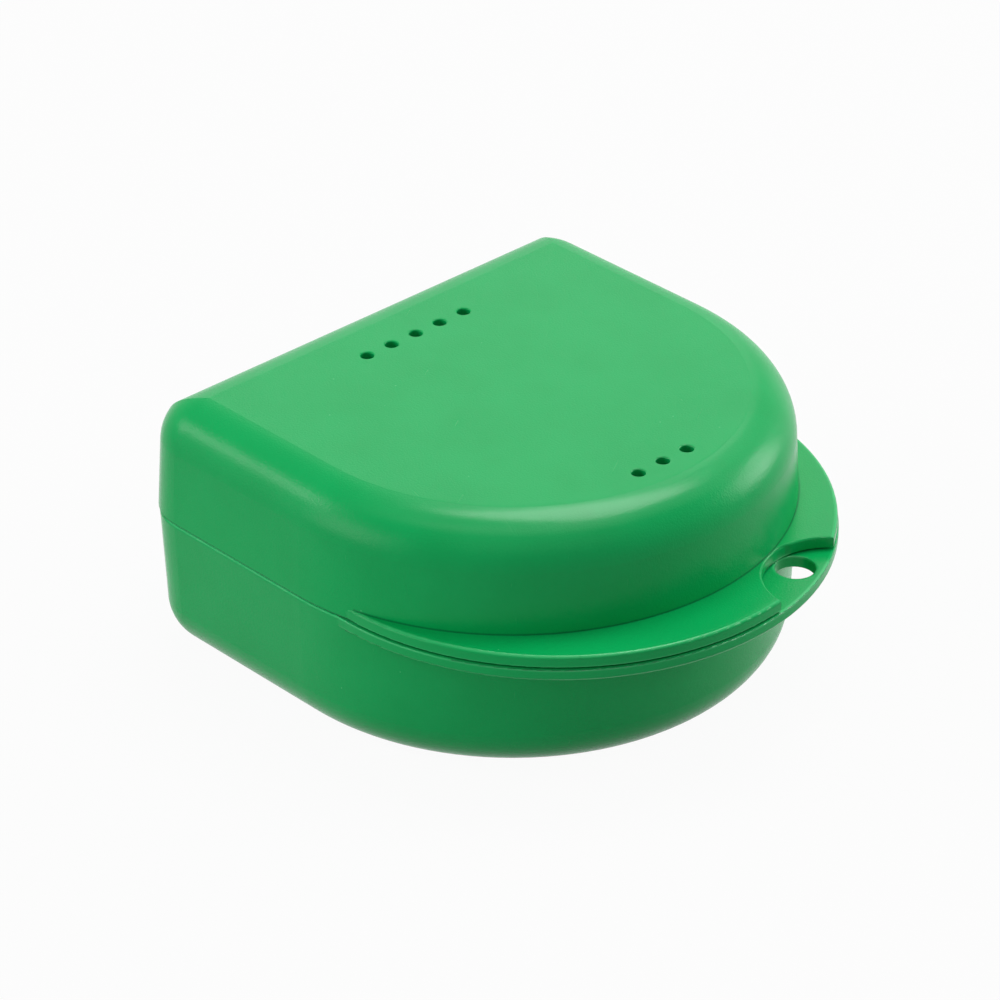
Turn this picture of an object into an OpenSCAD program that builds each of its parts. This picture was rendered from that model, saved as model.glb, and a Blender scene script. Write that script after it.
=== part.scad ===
// Orthodontic retainer case: a D-shaped tray and a domed lid that laps over its rim,
// joined along the straight back by a pinned knuckle hinge.
// Millimetres. The case rests on z = 0, its rounded front faces -Y and its hinge +Y.
// x = 0 is the middle of the case. The pieces are drawn with y = 0 at the centre of the
// half-round front, then moved so that the origin is the middle of the closed case's box.

/* [Case] */
// Width across the walls at the rim
case_w = 80; // [74:1:90]
// Depth at the rim, from the front of the wall to the back wall
case_d = 74.6; // [68:0.2:84]
// Height of the closed case
case_h = 39; // [36:0.5:44]
// Height of the parting plane, where lid and tray meet
parting_z = 21.4; // [19:0.2:24]
// Thickness of the moulded walls
wall = 1.8; // [1.5:0.1:2.2]
// Plan radius of the two back corners at the rim
corner_r = 8.8; // [8:0.1:12]

/* [Lid] */
// Draft of the lid's wall, in degrees
lid_draft = 3.5; // [1:0.5:5]
// Radius that rounds the lid's wall into its flat top
lid_edge_r = 7.2; // [4:0.1:9]
// Amount by which the lid's back edge, above the hinge, is rounded more than its other edges
back_edge_extra = 2; // [0.5:0.1:2.4]
// Height by which each flat face trims its edge round, which leaves a faint crease
crease_trim = 0.03; // [0.01:0.01:0.08]

/* [Tray] */
// Draft of the tray's wall, in degrees
tray_draft = 2.5; // [1:0.5:5]
// Radius that rounds the tray's wall into its bottom
tray_edge_r = 7.4; // [4:0.1:9]
// Set-back of the tray's wall behind the lid's
tray_inset = 0.15; // [0.1:0.05:0.6]
// Width of the foot ring that the case stands on
foot_w = 4; // [2:0.5:8]
// Depth of the recess inside the foot ring
foot_recess = 0.4; // [0.2:0.1:0.8]

/* [Rim] */
// Slit between the lid's rim and the tray's
rim_gap = 0.3; // [0.15:0.05:0.4]
// Rounding of the tray's outer rim edge
tray_rim_r = 0.4; // [0.2:0.05:0.6]
// Rounding of the lid's outer rim edge
lid_rim_r = 0.2; // [0.1:0.05:0.4]
// Height of the tray's lap lip above the parting plane
lip_h = 1.6; // [1:0.1:2.5]
// Thickness of the lap lip
lip_t = 0.9; // [0.6:0.05:1]
// Clearance round the lap lip inside the lid
lip_clear = 0.3; // [0.2:0.05:0.4]
// Height of the closing bead on the front of the lip, within the clearance
bead_h = 0.12; // [0.05:0.01:0.15]
// Half angle of the closing bead about the front
bead_half_angle = 22; // [10:1:35]

/* [Thumb flanges] */
// Reach of the two flanges beyond the front of the wall
flange_reach = 7.8; // [5:0.1:10]
// Radius of the flanges' outer edge
flange_r = 39.2; // [38:0.1:46]
// Set-back of the lid's flange behind the tray's
lid_flange_inset = 0.2; // [0.1:0.05:0.4]
// Thickness of each flange
flange_t = 1.7; // [1.3:0.1:2.4]
// Rounding of each flange's outward edge
flange_edge_r = 0.5; // [0.2:0.05:0.7]
// Rounding of each flange's edge at the parting plane
flange_slit_r = 0.15; // [0.1:0.05:0.4]

/* [Hang hole] */
// Diameter of the hole through the tray's flange
hang_d = 5.5; // [4:0.1:6]
// Turn of the hole from the front, towards +X, in degrees
hang_angle = 19; // [8:1:26]
// Land between the hole and the wall at the rim
hang_land = 0.45; // [0.2:0.05:0.6]
// Rounding of the hole's edges
hang_edge_r = 0.25; // [0.1:0.05:0.4]
// Radius of the notch that clears the hole in the lid's flange
notch_r = 9.8; // [8.5:0.1:11]
// Turn of the notch from the front, in degrees
notch_angle = 16.4; // [8:0.2:26]
// Least width of lid flange left between the notch and the wall
notch_land = 0.2; // [0.1:0.05:0.4]
// Rounding of the notch's upper edge
notch_edge_r = 0.35; // [0.2:0.05:0.5]

/* [Vents] */
// Diameter of the vent holes in the lid
vent_d = 1.9; // [1.2:0.1:3]
// Distance between neighbouring vents
vent_pitch = 4.6; // [3.6:0.1:6]
// Vents in the back row
back_vents = 5; // [3:1:7]
// Vents in the front row
front_vents = 3; // [1:1:5]
// Distance of the back row from the back wall
back_row = 15; // [10:0.1:24]
// Distance of the front row from the front wall
front_row = 11; // [10:0.2:20]
// Rounding of the vents' upper edges
vent_edge_r = 0.25; // [0.1:0.05:0.4]

/* [Hinge] */
// Diameter of the hinge pin
pin_d = 1.8; // [1.4:0.1:2.2]
// Outside diameter of the knuckles
knuckle_d = 4.8; // [4.2:0.1:5.2]
// Slit between a knuckle and the back wall of the other half
hinge_slit = 0.3; // [0.2:0.05:0.5]
// Length of the whole row of knuckles
hinge_w = 52; // [42:1:58]
// Length of each tray knuckle
tray_knuckle_w = 8; // [5:0.5:10]
// Clearance between neighbouring knuckles
knuckle_gap = 0.3; // [0.2:0.05:0.5]
// Height of the web that ties each knuckle to its wall
web_h = 4.5; // [3:0.1:6]
// Radial clearance of the pin in the tray's knuckles, which hold it
pin_grip = 0.02; // [0.01:0.01:0.03]
// Radial clearance of the pin in the lid's knuckles, which turn on it
pin_run = 0.06; // [0.04:0.01:0.1]
// Set-back of the pin's ends inside the end knuckles
pin_set = 0.3; // [0.1:0.1:1]
// Opening angle at which the lid's heels meet the tray's back wall, in degrees
open_angle = 110; // [95:1:125]
// Slit left under the heels at that angle
stop_clear = 0.05; // [0.03:0.01:0.1]
// Width of the heel's face
heel_w = 1.4; // [1:0.1:1.6]

/* [Hidden] */
$fn = 96;
// Overrun of a cutter past the face that it cuts
over = 2;
// Smallest plan radius left on a flat face's corners
min_flat_r = 0.5;
// Depth by which a wall trims the round that meets it
round_trim = crease_trim / 10;
mould_green = [0.10, 0.62, 0.33];
pin_steel = [0.72, 0.73, 0.75];

half_w = case_w / 2;
front_r = half_w;
back_y = case_d - front_r;
lid_z = parting_z + rim_gap;
lid_h = case_h - lid_z;

// An edge round is limited by the back corner that it runs through
lid_round = min(lid_edge_r, corner_r - min_flat_r - lid_h * tan(lid_draft));
tray_round = min(tray_edge_r, corner_r - min_flat_r - tray_inset - parting_z * tan(tray_draft));

// Centre of the edge round of a cup, as [outward from the rim outline, away from the rim]
function round_centre(height, inset, draft, edge_r, rim_r) =
    let (rise = height + crease_trim - edge_r)
    [-inset - (rise - rim_r) * tan(draft) - edge_r / cos(draft), rise];

lid_centre = round_centre(lid_h, 0, lid_draft, lid_round, lid_rim_r);
tray_centre = round_centre(parting_z, tray_inset, tray_draft, tray_round, tray_rim_r);
back_round = lid_round + back_edge_extra;
back_centre = round_centre(lid_h, 0, lid_draft, back_round, lid_rim_r);

// Place of a drafted wall that is tangent to a round, at one height above the rim
function wall_at(centre, r, draft, height) =
    centre.x + r * cos(draft) + (centre.y + r * sin(draft) - height) * tan(draft);

// A derived length to the nearest micrometre, so that all sweeps of a section share its edges
function to_micron(length) = round(length * 1000) / 1000;

// The lap joint: the lip stands on the inner part of the tray's wall
lip_in = to_micron(wall_at(tray_centre, tray_round - wall, tray_draft, 0));
lip_out = lip_in + lip_t;
skirt_in = lip_out + lip_clear;

flange_y = flange_r - front_r - flange_reach;
hang_reach = front_r + hang_land + hang_d / 2;
hang_xy = hang_reach * [sin(hang_angle), -cos(hang_angle)];
notch_xy = (front_r + notch_land + notch_r) * [sin(notch_angle), -cos(notch_angle)];

knuckle_r = knuckle_d / 2;
pin_r = pin_d / 2;
hinge_y = back_y + hinge_slit + knuckle_r;
hinge_z = parting_z;
stop_reach = hinge_y - back_y + tray_inset - stop_clear;
end_knuckle_x = hinge_w / 2 - tray_knuckle_w;

// Middle of the closed case from the flanges' front to the knuckles' back
mid_y = (hinge_y + knuckle_r - front_r - flange_reach) / 2;

module placed() {
    translate([0, -mid_y, 0]) children();
}

// What a round of radius r, centred on the origin, leaves of the corner on its +X +Y side
module round_corner(r, trim = 0) {
    difference() {
        square(r + over);
        circle(r + trim);
    }
}

// Half section of a drafted cup's fill: from its foot up the wall, round the edge and in
module cup_fill(depth, foot, centre, r, draft, flat) {
    tangent = centre.y + r * sin(draft);
    intersection() {
        polygon([
            [-depth, foot],
            [wall_at(centre, r, draft, foot), foot],
            [wall_at(centre, r, draft, flat), flat],
            [-depth, flat]
        ]);
        union() {
            translate([-depth, foot]) square([depth + over, tangent - foot]);
            translate([-depth, foot]) square([depth + centre.x, flat - foot + over]);
            translate(centre) circle(r + round_trim);
        }
    }
}

// Half section of a moulded shell, open at its rim, with s = 0 on the rim outline;
// a lip of some height may stand on the inner part of the rim
module shell_section(depth, height, inset, draft, centre, edge_r, rim_r, lip = 0) {
    difference() {
        union() {
            difference() {
                cup_fill(depth, 0, centre, edge_r, draft, height);
                translate([-inset - rim_r, rim_r]) mirror([0, 1]) round_corner(rim_r, round_trim);
            }
            if (lip > 0) translate([-depth, -lip]) square([depth + lip_out, lip + wall]);
        }
        cup_fill(depth, -lip - over, centre, edge_r - wall, draft, centre.y + edge_r - wall);
    }
}

module lid_section(depth) {
    translate([0, lid_z]) difference() {
        shell_section(depth, lid_h, 0, lid_draft, lid_centre, lid_round, lid_rim_r);
        translate([-depth, -over]) square([depth + skirt_in, over + lip_h + lip_clear]);
    }
}

module tray_section(depth) {
    translate([0, parting_z]) mirror([0, 1])
        shell_section(depth, parting_z, tray_inset, tray_draft, tray_centre, tray_round, tray_rim_r, lip_h);
}

module section(shell, depth) {
    if (shell == "lid") lid_section(depth);
    if (shell == "tray") tray_section(depth);
}

// A shell's section turned about an axis that lies r inside the rim outline
module turned(shell, r, angle) {
    rotate_extrude(angle = angle) intersection() {
        translate([r, 0]) section(shell, r + over);
        translate([0, -over]) square([r + over, case_h + 2 * over]);
    }
}

// Carries a shell's section round the D: half-round front, straight sides, back and corners
module d_sweep(shell) {
    side_l = back_y - corner_r;
    back_w = case_w - 2 * corner_r;
    rotate([0, 0, 180]) turned(shell, front_r, 180);
    translate([0, side_l, 0]) rotate([90, 0, 0]) linear_extrude(side_l)
        for (side = [0, 1]) mirror([side, 0]) translate([half_w, 0]) section(shell, half_w);
    translate([-back_w / 2, 0, 0]) rotate([90, 0, 90]) linear_extrude(back_w)
        translate([back_y, 0]) section(shell, corner_r);
    for (side = [0, 1]) mirror([side, 0, 0])
        translate([back_w / 2, side_l, 0]) turned(shell, corner_r, 90);
}

// What the larger round takes off the lid's back edge, all the way across
module back_edge_cutter() {
    tangent = back_round * sin(lid_draft);
    translate([-half_w - over, back_y + back_centre.x, lid_z + back_centre.y]) rotate([90, 0, 90])
        linear_extrude(case_w + 2 * over) difference() {
            translate([0, tangent]) square(back_round + over);
            circle(back_round + round_trim);
        }
}

// Crescent that grows out of the front wall, from the parting plane upwards
module flange(inner_r, outer_r) {
    difference() {
        translate([0, flange_y, 0]) rotate_extrude() difference() {
            square([outer_r, flange_t]);
            translate([outer_r - flange_slit_r, flange_slit_r]) mirror([0, 1])
                round_corner(flange_slit_r);
            translate([outer_r - flange_edge_r, flange_t - flange_edge_r])
                round_corner(flange_edge_r);
        }
        translate([0, 0, -over]) cylinder(r = inner_r, h = flange_t + 2 * over);
    }
}

// Cutter for a hole whose mouth, at z = 0, is rounded over; the hole runs down
module hole_cutter(r, depth, edge_r) {
    rotate_extrude() {
        translate([0, -depth]) square([r, depth + over]);
        difference() {
            translate([0, -edge_r]) square([r + edge_r, edge_r + over]);
            translate([r + edge_r, -edge_r]) circle(edge_r);
        }
    }
}

module vent_row(count, y) {
    for (i = [0 : count - 1])
        translate([(i - (count - 1) / 2) * vent_pitch, y, case_h])
            hole_cutter(vent_d / 2, wall + over, vent_edge_r);
}

// Rounded D inside the foot ring, sunk into the tray's bottom
module foot_recess_cutter() {
    edge = -tray_centre.x + foot_w;
    r = front_r - edge;
    flat_back = back_y - edge;
    translate([0, 0, -over]) linear_extrude(over + foot_recess) {
        intersection() {
            circle(r);
            translate([-r, -r]) square([2 * r, r]);
        }
        translate([-r, 0]) square([2 * r, flat_back - foot_w]);
        translate([foot_w - r, 0]) square([2 * (r - foot_w), flat_back]);
        for (side = [-1, 1])
            translate([side * (r - foot_w), flat_back - foot_w]) circle(foot_w);
    }
}

// One knuckle from x0 to x1, on a web that runs up (dir = 1) or down (dir = -1) its wall
module knuckle(x0, x1, dir, foot_z, wall_y, draft, anchor) {
    translate([x0, 0, 0]) rotate([90, 0, 90]) linear_extrude(x1 - x0) {
        translate([hinge_y, hinge_z]) circle(knuckle_r);
        polygon([
            [wall_y - anchor, foot_z],
            [hinge_y, foot_z],
            [hinge_y, hinge_z + dir * knuckle_r],
            [wall_y - web_h * tan(draft) - anchor, foot_z + dir * web_h]
        ]);
    }
}

// Flat heel on a lid knuckle that meets the tray's back wall when the lid is fully open
module stop_heel(x0, x1) {
    translate([x0, 0, 0]) rotate([90, 0, 90]) linear_extrude(x1 - x0)
        translate([hinge_y, hinge_z]) rotate(open_angle - 180)
            square([stop_reach, heel_w]);
}

module pin_bore(clearance) {
    translate([-hinge_w / 2 - over, hinge_y, hinge_z]) rotate([0, 90, 0])
        cylinder(r = pin_r + clearance, h = hinge_w + 2 * over);
}

module tray_knuckles() {
    for (x0 = [-hinge_w / 2, -tray_knuckle_w / 2, end_knuckle_x])
        knuckle(x0, x0 + tray_knuckle_w, -1, parting_z, back_y - tray_inset, tray_draft, wall / 2);
}

module lid_knuckles() {
    x0 = tray_knuckle_w / 2 + knuckle_gap;
    x1 = end_knuckle_x - knuckle_gap;
    for (side = [0, 1]) mirror([side, 0, 0]) {
        knuckle(x0, x1, 1, lid_z, back_y, lid_draft, -skirt_in / 2);
        stop_heel(x0, x1);
    }
}

module closing_bead() {
    rotate([0, 0, -90 - bead_half_angle]) rotate_extrude(angle = 2 * bead_half_angle)
        translate([front_r + lip_out + bead_h - lip_t / 2, parting_z + lip_h / 2])
            circle(lip_t / 2);
}

module tray() {
    color(mould_green) difference() {
        union() {
            d_sweep("tray");
            translate([0, 0, parting_z]) mirror([0, 0, 1])
                flange(front_r - tray_inset - wall / 2, flange_r);
            closing_bead();
            tray_knuckles();
        }
        translate([hang_xy.x, hang_xy.y, parting_z])
            hole_cutter(hang_d / 2, flange_t + over, hang_edge_r);
        translate([hang_xy.x, hang_xy.y, parting_z - flange_t]) mirror([0, 0, 1])
            hole_cutter(hang_d / 2, over, hang_edge_r);
        pin_bore(pin_grip);
        foot_recess_cutter();
    }
}

module lid() {
    color(mould_green) difference() {
        union() {
            d_sweep("lid");
            difference() {
                translate([0, 0, lid_z]) flange(front_r + skirt_in / 2, flange_r - lid_flange_inset);
                translate([notch_xy.x, notch_xy.y, lid_z + flange_t])
                    hole_cutter(notch_r, flange_t + over, notch_edge_r);
            }
            lid_knuckles();
        }
        vent_row(back_vents, back_y - back_row);
        back_edge_cutter();
        vent_row(front_vents, front_row - front_r);
        pin_bore(pin_run);
    }
}

module hinge_pin() {
    length = hinge_w - 2 * pin_set;
    color(pin_steel) translate([-length / 2, hinge_y, hinge_z]) rotate([0, 90, 0])
        cylinder(r = pin_r, h = length);
}

placed() tray();
placed() lid();
placed() hinge_pin();
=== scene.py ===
"""Studio scene of a hinged retainer case: the finishes of its mouldings and pin, light, floor and camera."""

import logging
import math
from abc import ABC, abstractmethod
from dataclasses import dataclass
from enum import Enum
from functools import reduce
from typing import Any, ClassVar

import bmesh
import bpy
from mathutils import Matrix, Vector

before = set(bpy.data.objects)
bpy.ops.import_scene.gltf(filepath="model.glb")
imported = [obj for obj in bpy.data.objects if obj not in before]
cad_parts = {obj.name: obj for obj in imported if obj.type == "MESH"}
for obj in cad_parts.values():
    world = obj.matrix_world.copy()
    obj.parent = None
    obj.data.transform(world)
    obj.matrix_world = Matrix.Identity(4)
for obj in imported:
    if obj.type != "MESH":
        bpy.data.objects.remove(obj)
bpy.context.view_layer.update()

LOG = logging.getLogger("retainer_case")

Colour = tuple[float, float, float, float]
Triple = tuple[float, float, float]
Pair = tuple[float, float]
Sockets = dict[int | str, Any]

MM = 0.001
NOISE_MIDDLE = 0.5
WHITE: Colour = (1.0, 1.0, 1.0, 1.0)


class Ray(Enum):
    """Kinds of ray that see the studio as plain white."""

    CAMERA = "Is Camera Ray"
    GLOSSY = "Is Glossy Ray"
    TRANSMISSION = "Is Transmission Ray"


class Mixture(Enum):
    """What a Mix node mixes: Blender's name for it, the places of its two inputs and of its result."""

    DIRECTIONS = ("VECTOR", 4, 5, 1)
    COLOURS = ("RGBA", 6, 7, 2)


@dataclass(frozen=True)
class Pattern:
    """Noise: the size of its features in millimetres, its octaves and the weight of the finer ones."""

    pitch: float
    octaves: float = 2.0
    weight: float = 0.5


class Signal:
    """A shader socket whose arithmetic adds Math nodes to its graph."""

    def __init__(self, graph: "Graph", socket: bpy.types.NodeSocket | None) -> None:
        """Keeps the socket and the graph that it belongs to."""
        self.graph = graph
        self.socket = socket

    def _maths(self, operation: str, *operands: "Signal | float") -> "Signal":
        """Result of one Math node, from Blender's name of the operation and its inputs in order."""
        return self.graph.node("ShaderNodeMath", {"operation": operation}, dict(enumerate(operands)))

    def __add__(self, other: "Signal | float") -> "Signal":
        """Sum."""
        return self._maths("ADD", self, other)

    def __radd__(self, other: float) -> "Signal":
        """Sum with a number on the left."""
        return self._maths("ADD", other, self)

    def __sub__(self, other: "Signal | float") -> "Signal":
        """Difference."""
        return self._maths("SUBTRACT", self, other)

    def __rsub__(self, other: float) -> "Signal":
        """Difference from a number on the left."""
        return self._maths("SUBTRACT", other, self)

    def __mul__(self, other: "Signal | float") -> "Signal":
        """Product."""
        return self._maths("MULTIPLY", self, other)

    def __rmul__(self, other: float) -> "Signal":
        """Product with a number on the left."""
        return self._maths("MULTIPLY", other, self)

    def least(self, other: "Signal | float") -> "Signal":
        """Smaller of the two."""
        return self._maths("MINIMUM", self, other)

    def most(self, other: "Signal | float") -> "Signal":
        """Larger of the two."""
        return self._maths("MAXIMUM", self, other)

    def hypot(self, other: "Signal") -> "Signal":
        """Length of the vector that has the two as its parts."""
        return self._maths("SQRT", self * self + other * other)

    def above(self, limit: float) -> "Signal":
        """1 where the signal is greater than a limit, otherwise 0."""
        return self._maths("GREATER_THAN", self, limit)

    def rise(self, start: float, end: float) -> "Signal":
        """Smooth step.

        Args:
            start: value at which the step is still 0.
            end: value at which it is 1; it may lie below start.

        Returns:
            The step, clamped to 0 and 1.
        """
        low, high = min(start, end), max(start, end)
        ends = {"To Min": 0.0, "To Max": 1.0} if start < end else {"To Min": 1.0, "To Max": 0.0}
        return self.graph.node(
            "ShaderNodeMapRange",
            {"interpolation_type": "SMOOTHSTEP"},
            {"Value": self, "From Min": low, "From Max": high, **ends},
        )


class Graph:
    """Builds a node tree, one node at a time."""

    def __init__(self, tree: bpy.types.NodeTree) -> None:
        """Empties the tree."""
        self.tree = tree
        tree.nodes.clear()

    def node(
        self,
        kind: str,
        settings: dict[str, Any] | None = None,
        inputs: Sockets | None = None,
        output: int | str = 0,
    ) -> Signal:
        """Adds a node.

        Args:
            kind: the node's type.
            settings: its properties, which are set first.
            inputs: values or signals for its sockets, by name or place.
            output: the socket that is handed back.

        Returns:
            The chosen output, without a socket where the node has none.
        """
        made = self.tree.nodes.new(kind)
        for name, value in (settings or {}).items():
            setattr(made, name, value)
        for key, value in (inputs or {}).items():
            if isinstance(value, Signal):
                self.tree.links.new(value.socket, made.inputs[key])
            else:
                made.inputs[key].default_value = value
        return Signal(self, made.outputs[output] if len(made.outputs) else None)

    def noise(self, place: Signal, pattern: Pattern) -> Signal:
        """Adds noise.

        Args:
            place: coordinates in metres.
            pattern: the noise's features.

        Returns:
            The noise, from 0 to 1 about its middle.
        """
        scale = 1 / (pattern.pitch * MM)
        sockets = {"Vector": place, "Scale": scale, "Detail": pattern.octaves, "Roughness": pattern.weight}
        return self.node("ShaderNodeTexNoise", None, sockets)

    def mix(self, mixture: Mixture, share: Signal, start: Signal | Colour, end: Signal | Colour) -> Signal:
        """Mixes two colours or directions: a share of 0 gives the first and of 1 the second."""
        kind, first, second, result = mixture.value
        return self.node("ShaderNodeMix", {"data_type": kind}, {0: share, first: start, second: end}, result)

    def unit(self, vector: Signal) -> Signal:
        """The vector with a length of 1."""
        return self.node("ShaderNodeVectorMath", {"operation": "NORMALIZE"}, {0: vector})

    def direction(self, x: Signal, y: Signal, z: Signal) -> Signal:
        """Makes a unit vector in world space.

        Args:
            x: its part along the object's X.
            y: its part along the object's Y.
            z: its part along the object's Z.

        Returns:
            The vector.
        """
        parts = self.node("ShaderNodeCombineXYZ", None, {0: x, 1: y, 2: z})
        spaces = {"vector_type": "NORMAL", "convert_from": "OBJECT", "convert_to": "WORLD"}
        return self.unit(self.node("ShaderNodeVectorTransform", spaces, {0: parts}))

    def stretched(self, place: Signal, scale: Triple, turn: float = 0.0) -> Signal:
        """Coordinates stretched by a factor on each axis and turned about Z by an angle in degrees."""
        sockets = {"Vector": place, "Rotation": (0.0, 0.0, math.radians(turn)), "Scale": scale}
        return self.node("ShaderNodeMapping", {"vector_type": "TEXTURE"}, sockets)

    def bump(self, height: Signal, relief: float, over: Signal | None = None) -> Signal:
        """Lays a relief on the surface.

        Args:
            height: the relief's height, as a share.
            relief: how high a share of 1 is, in millimetres.
            over: the normal that it lies on; without one it is the surface's own.

        Returns:
            The new normal.
        """
        sockets = {"Strength": 1.0, "Distance": relief * MM, "Height": height}
        if over is not None:
            sockets["Normal"] = over
        return self.node("ShaderNodeBump", None, sockets)


@dataclass(frozen=True)
class Shell:
    """Outside of one moulding as seen in its section, in millimetres, with its draft in degrees."""

    rim_z: float
    flat_z: float
    inset: float
    draft: float
    edge_r: float
    flange_z: float
    flange_r: float

    @property
    def up(self) -> float:
        """1 for a moulding that rises from its rim, -1 for one that hangs from it."""
        return math.copysign(1.0, self.flat_z - self.rim_z)

    @property
    def straight(self) -> float:
        """Height of the wall between the rim and the edge round."""
        return abs(self.flat_z - self.rim_z) - self.edge_r

    @property
    def thick(self) -> float:
        """Thickness of the flange."""
        return abs(self.flange_z - self.rim_z)

    def rise(self, z: Signal) -> Signal:
        """Distance from the rim towards the flat."""
        return (z - self.rim_z) * self.up

    def level(self, z: Signal) -> Signal:
        """Height over the edge round's centre as a share of its radius, 1 on the flat."""
        return (self.rise(z) - self.straight) * (1 / self.edge_r)

    def depth(self, outward: Signal, z: Signal) -> Signal:
        """Distance outside the moulding's outer face, negative within the wall.

        Args:
            outward: distance outside the rim outline in plan.
            z: height.

        Returns:
            The distance, true on the wall, the edge round and the flat.
        """
        rise = self.rise(z)
        lean = rise.least(self.straight) * math.tan(math.radians(self.draft))
        across = outward + self.inset + lean + self.edge_r
        along = rise - self.straight
        return across.most(0.0).hypot(along.most(0.0)) + across.most(along).least(0.0) - self.edge_r


@dataclass(frozen=True)
class Zones:
    """Places on a moulding that look or wear differently, each from 0 to 1 but for the last two.

    Attributes:
        outside: the outer face, which has the grain.
        flange: the thumb flange.
        foot: what stands on the table.
        rim: the outer edge of the rim, which gets a painted highlight on the tray and painted shade on the
            lid.
        edge: the rubbed edges of the flange and of the hang hole, which carry wear and a painted highlight.
        bare: the margin of the flange, which has no grain.
        corner: where the wall meets the flange, which gets painted shade.
        shoulder: the front of the edge round.
        sunk: how far the hang hole's rim is eased, in millimetres.
        normal: the surface's normal.
    """

    outside: Signal
    flange: Signal
    foot: Signal
    rim: Signal
    edge: Signal
    bare: Signal
    corner: Signal
    shoulder: Signal
    sunk: Signal
    normal: Signal


@dataclass(frozen=True)
class CasePlan:
    """Plan and section of the closed case, in millimetres, in the shared frame.

    A band gives the ends of a smooth step. The shoulder's low and high bands are shares of the edge
    round's radius, round_facing is the least cosine between a facet and the round that it stands for,
    and hairline keeps the round's normal from having no length.
    """

    front_r: float = 40.0
    front_y: float = 4.05
    back_y: float = 38.65
    flange_y: float = -4.55
    flange_round: float = 0.5
    hang_hole: Pair = (14.065, -36.796)
    hang_hole_r: float = 2.75
    hole_round: float = 0.5
    skin_band: Pair = (-1.2, -0.7)
    wall_band: Pair = (-0.6, -0.2)
    flange_band: Pair = (0.12, 0.35)
    edge_band: Pair = (0.32, 0.08)
    rub_and_highlight_band: Pair = (0.62, 0.30)
    # The rubbed band of the edges also spreads their painted highlight over the flange's edge round.
    bare_band: Pair = (1.0, 0.55)
    hole_band: Pair = (0.05, 0.45)
    corner_band: Pair = (0.28, 0.04)
    foot_band: Pair = (0.25, 0.02)
    round_band: Pair = (2.5, 0.6)
    round_facing: float = 0.55
    hairline: float = 0.001
    shoulder_low_band: Pair = (0.69, 0.81)
    shoulder_high_band: Pair = (0.9995, 0.995)
    shoulder_front_band: Pair = (2.0, -14.0)
    shoulder_side_band: Pair = (24.0, 8.0)
    lid: Shell = Shell(
        rim_z=21.7, flat_z=39.0, inset=0.0, draft=3.5, edge_r=7.2, flange_z=23.4, flange_r=39.0
    )
    tray: Shell = Shell(
        rim_z=21.4, flat_z=0.0, inset=0.15, draft=2.5, edge_r=7.4, flange_z=19.7, flange_r=39.2
    )

    def outward(self, x: Signal, y: Signal) -> Signal:
        """Distance outside the rim outline in plan, negative inside."""
        ahead = (y - self.front_y).least(0.0)
        return (x.hypot(ahead) - self.front_r).most(y - self.back_y)

    def zones(self, graph: Graph, place: Signal, shell: Shell) -> Zones:
        """Finds a moulding's zones.

        Args:
            graph: the material's graph.
            place: coordinates in metres.
            shell: the moulding's section.

        Returns:
            The zones.
        """
        axes = (graph.node("ShaderNodeSeparateXYZ", None, {0: place}, axis) for axis in "XYZ")
        x, y, z = (axis * (1 / MM) for axis in axes)
        rise, depth = shell.rise(z), shell.depth(self.outward(x, y), z)
        over = rise - shell.thick
        ahead = y - self.flange_y
        reach = x.hypot(ahead)
        within = shell.flange_r - reach

        face, proud = depth.rise(*self.wall_band), depth.rise(*self.flange_band)
        low = rise.rise(*self.edge_band)
        flange = proud * (self.front_y - y).above(0.0)
        faces = low.most((shell.thick - rise).rise(*self.edge_band))
        corner = over.rise(*self.corner_band) * depth.rise(*self.corner_band) * face
        corner = corner * over.above(-self.corner_band[1]) * within.above(self.corner_band[0])

        across = (self.flange_round - within).most(0.0)
        upright = (rise - (shell.thick - self.flange_round)).most(self.hairline) * reach * shell.up
        rounded = graph.direction(x * across, ahead * across, upright)

        lip = self._lip(x, y)
        level = shell.level(z)
        front = y.rise(*self.shoulder_front_band) * x.rise(*self.shoulder_side_band)
        return Zones(
            outside=depth.rise(*self.skin_band),
            flange=flange,
            foot=z.rise(*self.foot_band),
            rim=low * face * (1.0 - proud),
            edge=flange * (faces * within.rise(*self.rub_and_highlight_band)).most(lip.rise(*self.hole_band) * low),
            bare=flange * within.rise(*self.bare_band),
            corner=corner,
            shoulder=level.rise(*self.shoulder_low_band) * level.rise(*self.shoulder_high_band) * front,
            sunk=flange * lip * lip * (1 / (2 * self.hole_round)),
            normal=self._eased(graph, rounded, flange * within.rise(*self.round_band)),
        )

    def _lip(self, x: Signal, y: Signal) -> Signal:
        """Distance inwards from the outer ring of the hang hole's soft rim."""
        off_hole = (x - self.hang_hole[0]).hypot(y - self.hang_hole[1]) - self.hang_hole_r
        return (self.hole_round - off_hole).most(0.0).least(self.hole_round)

    def _eased(self, graph: Graph, rounded: Signal, share: Signal) -> Signal:
        """Surface normal that takes on a true round where the facets face as the round does.

        Args:
            graph: the material's graph.
            rounded: the round's normal.
            share: where the round is.

        Returns:
            The normal.
        """
        facet = graph.node("ShaderNodeNewGeometry", None, None, "True Normal")
        own = graph.node("ShaderNodeNewGeometry", None, None, "Normal")
        product = {"operation": "DOT_PRODUCT"}
        agree = graph.node("ShaderNodeVectorMath", product, {0: facet, 1: rounded}, "Value")
        share = share * agree.above(self.round_facing)
        return graph.unit(graph.mix(Mixture.DIRECTIONS, share, own, rounded))


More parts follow.
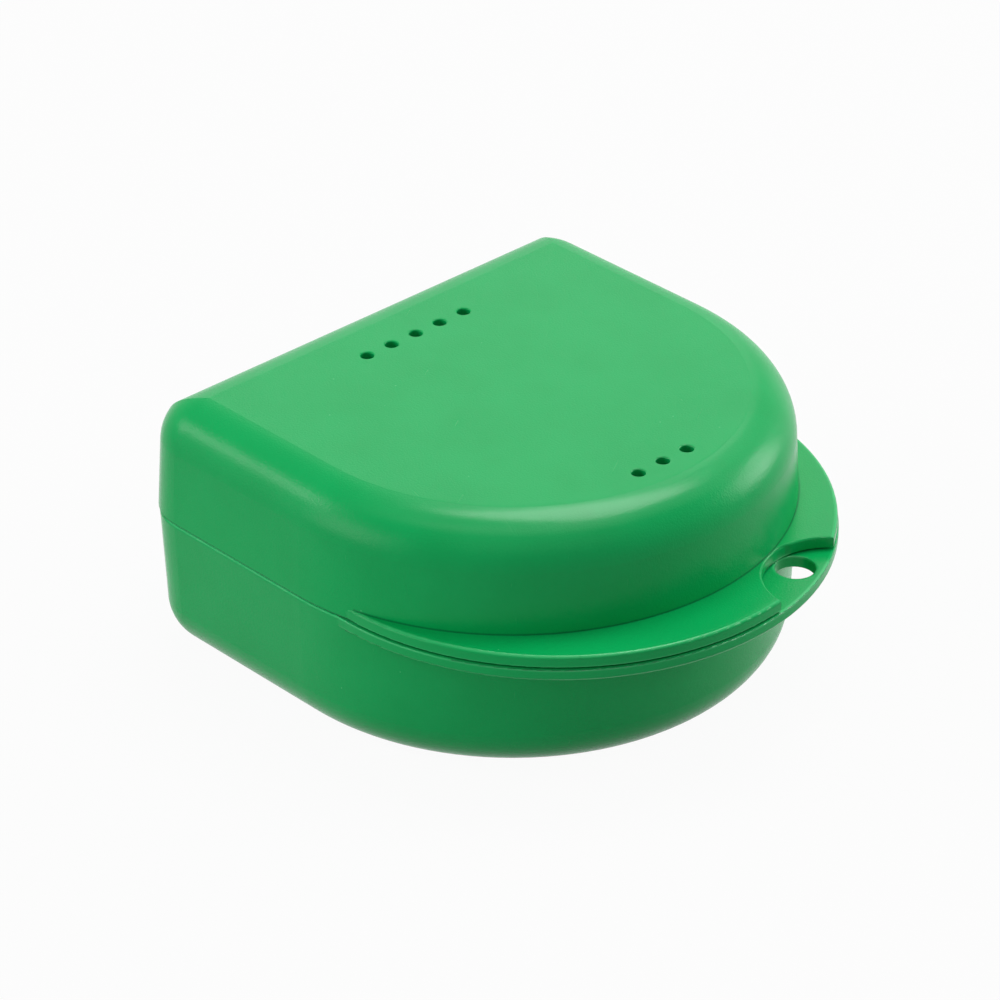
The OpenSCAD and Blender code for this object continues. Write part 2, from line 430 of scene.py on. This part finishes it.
class Finish(ABC):
    """A finish, which is made as one material."""

    title: ClassVar[str]

    def make(self, node: str) -> bpy.types.Material:
        """Builds the material.

        Args:
            node: the piece that it is for.

        Returns:
            The material, named for the piece and the finish.
        """
        material = bpy.data.materials.new(f"{node}_{self.title}")
        material.use_nodes = True
        graph = Graph(material.node_tree)
        place = graph.node("ShaderNodeTexCoord", None, None, "Object")
        shader = graph.node("ShaderNodeBsdfPrincipled", None, self._sockets(graph, place))
        graph.node("ShaderNodeOutputMaterial", None, {"Surface": shader})
        return material

    @abstractmethod
    def _sockets(self, graph: Graph, place: Signal) -> Sockets:
        """What goes into the shader's sockets, from coordinates in metres."""


@dataclass(frozen=True)
class Scuff:
    """Scuffs in one direction: their noise, its stretch and turn, and the band of it that they take up."""

    stretch: Triple
    turn: float
    noise: Pattern
    band: Pair

    def draw(self, graph: Graph, place: Signal) -> Signal:
        """1 along a scuff, otherwise 0."""
        return graph.noise(graph.stretched(place, self.stretch, self.turn), self.noise).rise(*self.band)


@dataclass(frozen=True)
class SatinMoulding(Finish):
    """Green moulded plastic: spark-grained outside, polished inside, rubbed where it is handled, with wear
    and painted highlights on its edges, a painted highlight on the tray's rim and painted shade in its
    corner and along the lid's rim.

    Pitches and heights are in millimetres, and a band gives the ends of a smooth step. A mark, rub or rough
    value is the share of what it names in the scuffs, the rubbed colour or the roughness, and speckless is
    the share of the plastic's cells that have no speck.
    """

    title: ClassVar[str] = "satin_green"

    plan: CasePlan
    shell: Shell
    # Share of wear and painted highlight on the flange's edge and the hang hole's rim.
    edge_rub_and_highlight: float
    # Share of the painted highlight along the tray's rim.
    rim_highlight: float = 0.0
    # Share of the painted shade along the lid's rim.
    rim_shade: float = 0.0
    shoulder_polish: float = 0.0

    colour: Colour = (0.002, 0.405, 0.101, 1.0)
    deep: Colour = (0.0015, 0.385, 0.094, 1.0)
    rubbed: Colour = (0.03, 0.50, 0.16, 1.0)
    # Pale tint of worn edges, which is also a painted highlight on them and on the tray's rim.
    wear_and_highlight_colour: Colour = (0.03, 0.64, 0.20, 1.0)
    # Dark green of the painted shade in the wall-flange corner and along the lid's rim.
    painted_shade: Colour = (0.001, 0.12, 0.045, 1.0)
    speck: Colour = (0.09, 0.56, 0.24, 1.0)

    satin: float = 0.25
    polished: float = 0.20
    edge_polish: float = 0.4
    polish_roughness: float = 0.2
    reflectance: float = 0.14
    ior: float = 1.49

    cloud: Pattern = Pattern(9.0, 3.0, 0.55)
    deep_band: Pair = (0.30, 0.72)
    cloud_rough: float = 0.06
    fine: Pattern = Pattern(0.9, 3.0, 0.6)
    fine_band: Pair = (0.55, 0.8)
    fine_rub: float = 0.03
    fine_rough: float = 0.05
    wear_band: Pair = (0.1, 0.45)
    # Share of the painted shade where the wall meets the flange.
    corner_shade: float = 0.6

    handled_band: Pair = (0.38, 0.66)
    handled_share: float = 0.55
    handled_mark: float = 0.5
    handled_rub: float = 0.10
    handled_rough: float = 0.05

    scuffs: tuple[Scuff, ...] = (
        Scuff(stretch=(22.0, 1.0, 6.0), turn=31.0, noise=Pattern(0.55, 1.0), band=(0.70, 0.78)),
        Scuff(stretch=(1.0, 18.0, 6.0), turn=-14.0, noise=Pattern(0.5, 1.0), band=(0.71, 0.79)),
    )
    scuff_patch: Pattern = Pattern(6.0, 1.0)
    patch_band: Pair = (0.52, 0.68)
    scuff_depth: float = 0.35
    scuff_mark: float = 0.30
    foot_mark: float = 0.7
    scuff_rub: float = 0.12
    scuff_rough: float = 0.10

    speck_pitch: float = 2.4
    speck_band: Pair = (0.055, 0.03)
    speckless: float = 0.86
    speck_share: float = 0.65

    grain: Pattern = Pattern(0.30, 2.0, 0.6)
    grain_height: float = 0.036
    wave: Pattern = Pattern(26.0, 0.0)
    wave_height: float = 0.03

    def _sockets(self, graph: Graph, place: Signal) -> Sockets:
        """Works out the plastic's colour, gloss and relief.

        Args:
            graph: the material's graph.
            place: coordinates in metres.

        Returns:
            What goes into the shader's sockets.
        """
        zones = self.plan.zones(graph, place, self.shell)
        cloud, fine = graph.noise(place, self.cloud), graph.noise(place, self.fine)
        handled = zones.flange * cloud.rise(*self.handled_band) * self.handled_share
        scuffs = self._scuffs(graph, place)
        marks = scuffs * (self.scuff_mark + self.handled_mark * handled + self.foot_mark * zones.foot)
        # Wear and painted highlight on the edges, and a painted highlight along the tray's rim.
        wear_and_highlight_share = (zones.edge * self.edge_rub_and_highlight + zones.rim * self.rim_highlight) * fine.rise(*self.wear_band)

        colour = graph.mix(Mixture.COLOURS, cloud.rise(*self.deep_band), self.colour, self.deep)
        rubbing = handled * self.handled_rub + marks * self.scuff_rub
        rubbing = rubbing + fine.rise(*self.fine_band) * self.fine_rub
        colour = graph.mix(Mixture.COLOURS, rubbing.least(1.0), colour, self.rubbed)
        specks = self._specks(graph, place) * zones.outside * self.speck_share
        colour = graph.mix(Mixture.COLOURS, specks, colour, self.speck)
        colour = graph.mix(Mixture.COLOURS, wear_and_highlight_share, colour, self.wear_and_highlight_colour)
        # Painted shade where the wall meets the flange and along the lid's rim.
        shade_share = zones.corner * self.corner_shade + zones.rim * self.rim_shade
        colour = graph.mix(Mixture.COLOURS, shade_share.least(1.0), colour, self.painted_shade)

        rough = zones.outside * (self.satin - self.polished) + self.polished
        rough = rough + (cloud - NOISE_MIDDLE) * self.cloud_rough + (fine - NOISE_MIDDLE) * self.fine_rough
        rough = rough - handled * self.handled_rough + marks * self.scuff_rough

        shoulder = zones.shoulder * zones.outside * self.shoulder_polish
        return {
            "Base Color": colour,
            "Roughness": rough,
            "IOR": self.ior,
            "Specular IOR Level": self.reflectance,
            "Coat Weight": zones.edge * self.edge_polish + shoulder,
            "Coat Roughness": self.polish_roughness,
            "Normal": self._relief(graph, place, zones, scuffs),
        }

    def _relief(self, graph: Graph, place: Signal, zones: Zones, scuffs: Signal) -> Signal:
        """Spark grain with scuffs cut into it, over the slow waves of a moulded wall.

        Args:
            graph: the material's graph.
            place: coordinates in metres.
            zones: the moulding's zones.
            scuffs: where the scuffs are.

        Returns:
            The normal.
        """
        grained = zones.outside * (1.0 - zones.bare)
        height = graph.noise(place, self.grain) * grained - scuffs * self.scuff_depth
        height = height - zones.sunk * (1 / self.grain_height)
        normal = graph.bump(height, self.grain_height, zones.normal)
        return graph.bump(graph.noise(place, self.wave), self.wave_height, normal)

    def _scuffs(self, graph: Graph, place: Signal) -> Signal:
        """1 along a fine handling scuff, in patches, otherwise 0."""
        drawn = reduce(Signal.most, [scuff.draw(graph, place) for scuff in self.scuffs])
        return drawn * graph.noise(place, self.scuff_patch).rise(*self.patch_band)

    def _specks(self, graph: Graph, place: Signal) -> Signal:
        """Sparse pale specks in the plastic.

        Args:
            graph: the material's graph.
            place: coordinates in metres.

        Returns:
            1 in a speck, otherwise 0.
        """
        sockets = {"Vector": place, "Scale": 1 / (self.speck_pitch * MM), "Randomness": 1.0}
        near = graph.node("ShaderNodeTexVoronoi", None, sockets, "Distance")
        cell = graph.node("ShaderNodeTexVoronoi", None, sockets, "Color")
        lot = graph.node("ShaderNodeSeparateColor", None, {0: cell})
        return near.rise(*self.speck_band) * lot.above(self.speckless)


@dataclass(frozen=True)
class DrawnWire(Finish):
    """Plain stainless wire with faint lines along its length."""

    title: ClassVar[str] = "drawn_wire"

    colour: Colour = (0.60, 0.61, 0.63, 1.0)
    dull: Colour = (0.47, 0.48, 0.50, 1.0)
    roughness: float = 0.30
    lines: Pattern = Pattern(0.16)
    line_stretch: Triple = (40.0, 1.0, 1.0)
    line_height: float = 0.003
    line_rough: float = 0.2
    stain: Pattern = Pattern(3.0)
    stain_band: Pair = (0.35, 0.7)

    def _sockets(self, graph: Graph, place: Signal) -> Sockets:
        """Works out the wire's colour, gloss and lines.

        Args:
            graph: the material's graph.
            place: coordinates in metres.

        Returns:
            What goes into the shader's sockets.
        """
        lines = graph.noise(graph.stretched(place, self.line_stretch), self.lines)
        stain = graph.noise(place, self.stain).rise(*self.stain_band)
        return {
            "Base Color": graph.mix(Mixture.COLOURS, stain, self.colour, self.dull),
            "Roughness": (lines - NOISE_MIDDLE) * self.line_rough + self.roughness,
            "Metallic": 1.0,
            "Normal": graph.bump(lines, self.line_height),
        }


class CasePiece(ABC):
    """A piece of the case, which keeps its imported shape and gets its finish."""

    node: ClassVar[str]

    @property
    @abstractmethod
    def finish(self) -> Finish:
        """The piece's finish."""

    def dress(self) -> None:
        """Puts the finish on the piece and reports it."""
        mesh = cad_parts[self.node].data
        made = self.finish.make(self.node)
        for slot in range(len(mesh.materials)):
            mesh.materials[slot] = made
        LOG.info("%s: %d faces in %s", self.node, len(mesh.polygons), made.name)


@dataclass(frozen=True)
class Tray(CasePiece):
    """The lower moulding, with a painted highlight along its rim."""

    node: ClassVar[str] = "tray"

    plan: CasePlan
    # Share of wear and painted highlight on the flange's edge.
    edge_rub_and_highlight: float = 0.5
    # Share of the painted highlight along the rim.
    rim_highlight: float = 0.9

    @property
    def finish(self) -> SatinMoulding:
        """Satin green, with a painted highlight on the rim."""
        return SatinMoulding(self.plan, self.plan.tray, edge_rub_and_highlight=self.edge_rub_and_highlight, rim_highlight=self.rim_highlight)


@dataclass(frozen=True)
class Lid(CasePiece):
    """The upper moulding, with painted shade along its rim and a little polish on its front."""

    node: ClassVar[str] = "lid"

    plan: CasePlan
    # Share of wear and painted highlight on the flange's edge and the hang hole's rim.
    edge_rub_and_highlight: float = 0.4
    # Share of the painted shade along the rim.
    rim_shade: float = 0.85
    shoulder_polish: float = 0.4

    @property
    def finish(self) -> SatinMoulding:
        """Satin green, with painted shade along the rim and a polished shoulder."""
        return SatinMoulding(
            self.plan,
            self.plan.lid,
            edge_rub_and_highlight=self.edge_rub_and_highlight,
            rim_shade=self.rim_shade,
            shoulder_polish=self.shoulder_polish,
        )


@dataclass(frozen=True)
class HingePin(CasePiece):
    """The hinge's wire pin."""

    node: ClassVar[str] = "hinge_pin"

    @property
    def finish(self) -> DrawnWire:
        """Drawn wire."""
        return DrawnWire()


@dataclass(frozen=True)
class SoftBox:
    """An area lamp that points at the case, in metres and watts."""

    name: str
    place: Triple
    size: Pair
    power: float
    aim: Triple = (0.0, 0.0, 0.02)

    def hang(self) -> None:
        """Adds the lamp to the scene."""
        lamp = bpy.data.lights.new(self.name, "AREA")
        lamp.shape = "RECTANGLE"
        lamp.size, lamp.size_y = self.size
        lamp.energy = self.power
        thing = bpy.data.objects.new(self.name, lamp)
        turn = (Vector(self.aim) - Vector(self.place)).to_track_quat("-Z", "Y")
        thing.matrix_world = Matrix.Translation(self.place) @ turn.to_matrix().to_4x4()
        bpy.context.scene.collection.objects.link(thing)


@dataclass(frozen=True)
class Studio:
    """Pale floor, white surround and soft light, in metres, with the floor's gap in millimetres."""

    ambient: float = 0.15
    floor_half: float = 2.5
    floor_gap: float = 0.05
    floor_colour: Colour = (0.50, 0.50, 0.50, 1.0)
    floor_white: float = 0.95
    lamps: tuple[SoftBox, ...] = (
        SoftBox("key_strip", place=(0.31, 0.07, 0.91), size=(0.60, 0.50), power=5.2),
        SoftBox("left_high_softbox", place=(-0.57, 0.61, 0.46), size=(0.24, 0.24), power=1.8),
        SoftBox("left_low_softbox", place=(-0.86, 0.30, 0.20), size=(0.50, 0.50), power=2.8),
        SoftBox("right_softbox", place=(0.85, -0.34, 0.26), size=(0.40, 0.40), power=4.0),
        SoftBox("front_softbox", place=(-0.30, -0.45, 0.80), size=(1.00, 1.00), power=1.7),
        SoftBox("back_softbox", place=(0.62, 0.64, 0.54), size=(0.60, 0.60), power=1.0),
    )

    def build(self) -> None:
        """Makes the surround, the floor and the lamps."""
        self._surround()
        self._floor()
        for lamp in self.lamps:
            lamp.hang()
        LOG.info("studio: %d lamps", len(self.lamps))

    @staticmethod
    def _seen(graph: Graph) -> Signal:
        """1 for the rays that see plain white, otherwise 0."""
        kinds = [graph.node("ShaderNodeLightPath", None, None, ray.value) for ray in Ray]
        return reduce(Signal.most, kinds)

    def _surround(self) -> None:
        """Makes the world: white to look at, dimmer as light."""
        world = bpy.data.worlds.new("surround")
        world.use_nodes = True
        graph = Graph(world.node_tree)
        strength = self._seen(graph) * (1.0 - self.ambient) + self.ambient
        light = graph.node("ShaderNodeBackground", None, {"Color": WHITE, "Strength": strength})
        graph.node("ShaderNodeOutputWorld", None, {"Surface": light})
        bpy.context.scene.world = world

    def _floor(self) -> None:
        """Makes the floor, which keeps the case's shadow."""
        shape = bmesh.new()
        low = Matrix.Translation((0.0, 0.0, -self.floor_gap * MM))
        bmesh.ops.create_grid(shape, x_segments=1, y_segments=1, size=self.floor_half, matrix=low)
        mesh = bpy.data.meshes.new("floor")
        shape.to_mesh(mesh)
        shape.free()
        mesh.materials.append(self._floor_finish())
        floor = bpy.data.objects.new("floor", mesh)
        bpy.context.scene.collection.objects.link(floor)

    def _floor_finish(self) -> bpy.types.Material:
        """Makes the floor's material: matt to the light, nearly white to look at.

        Returns:
            The material.
        """
        material = bpy.data.materials.new("pale_floor")
        material.use_nodes = True
        graph = Graph(material.node_tree)
        matt = graph.node("ShaderNodeBsdfDiffuse", None, {"Color": self.floor_colour})
        glow = graph.node("ShaderNodeEmission", None, {"Color": WHITE, "Strength": 1.0})
        share = self._seen(graph) * self.floor_white
        both = graph.node("ShaderNodeMixShader", None, {0: share, 1: matt, 2: glow})
        graph.node("ShaderNodeOutputMaterial", None, {"Surface": both})
        return material


@dataclass(frozen=True)
class ViewCamera:
    """Camera at the photograph's angle: turned about Z and raised, aimed past the case's middle.

    Angles are in degrees, lengths in millimetres and the clipping distances in metres.
    """

    azimuth: float = -43.74
    elevation: float = 31.09
    distance: float = 639.6
    aside: float = 1.71
    below: float = 17.27
    centre_y: float = 4.05
    focal_px: float = 4500.0
    frame_px: float = 1000.0
    sensor: float = 36.0
    clip: Pair = (0.01, 20.0)

    def build(self) -> None:
        """Adds the camera and makes it the scene's."""
        turn, lift = math.radians(self.azimuth), math.radians(self.elevation)
        level = Vector((math.sin(turn), -math.cos(turn), 0.0)) * math.cos(lift)
        back = level + Vector((0.0, 0.0, math.sin(lift)))
        right = Vector((math.cos(turn), math.sin(turn), 0.0))
        up = back.cross(right)
        centre = Vector((0.0, self.centre_y, 0.0))
        spot = centre - right * self.aside + up * self.below + back * self.distance
        lens = bpy.data.cameras.new("view_camera")
        lens.sensor_fit = "HORIZONTAL"
        lens.sensor_width = self.sensor
        lens.lens = self.focal_px / self.frame_px * self.sensor
        lens.clip_start, lens.clip_end = self.clip
        thing = bpy.data.objects.new("view_camera", lens)
        axes = Matrix((right, up, back)).transposed()
        thing.matrix_world = Matrix.Translation(spot * MM) @ axes.to_4x4()
        bpy.context.scene.collection.objects.link(thing)
        bpy.context.scene.camera = thing
        LOG.info("camera: %.0f mm lens, %.0f mm away", lens.lens, self.distance)


def main() -> None:
    """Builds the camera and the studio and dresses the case."""
    logging.basicConfig(level=logging.INFO, format="%(name)s: %(message)s")
    bpy.context.scene.view_settings.view_transform = "Standard"
    ViewCamera().build()
    Studio().build()
    plan = CasePlan()
    for piece in (Tray(plan), Lid(plan), HingePin()):
        piece.dress()


if __name__ == "__main__":
    main()
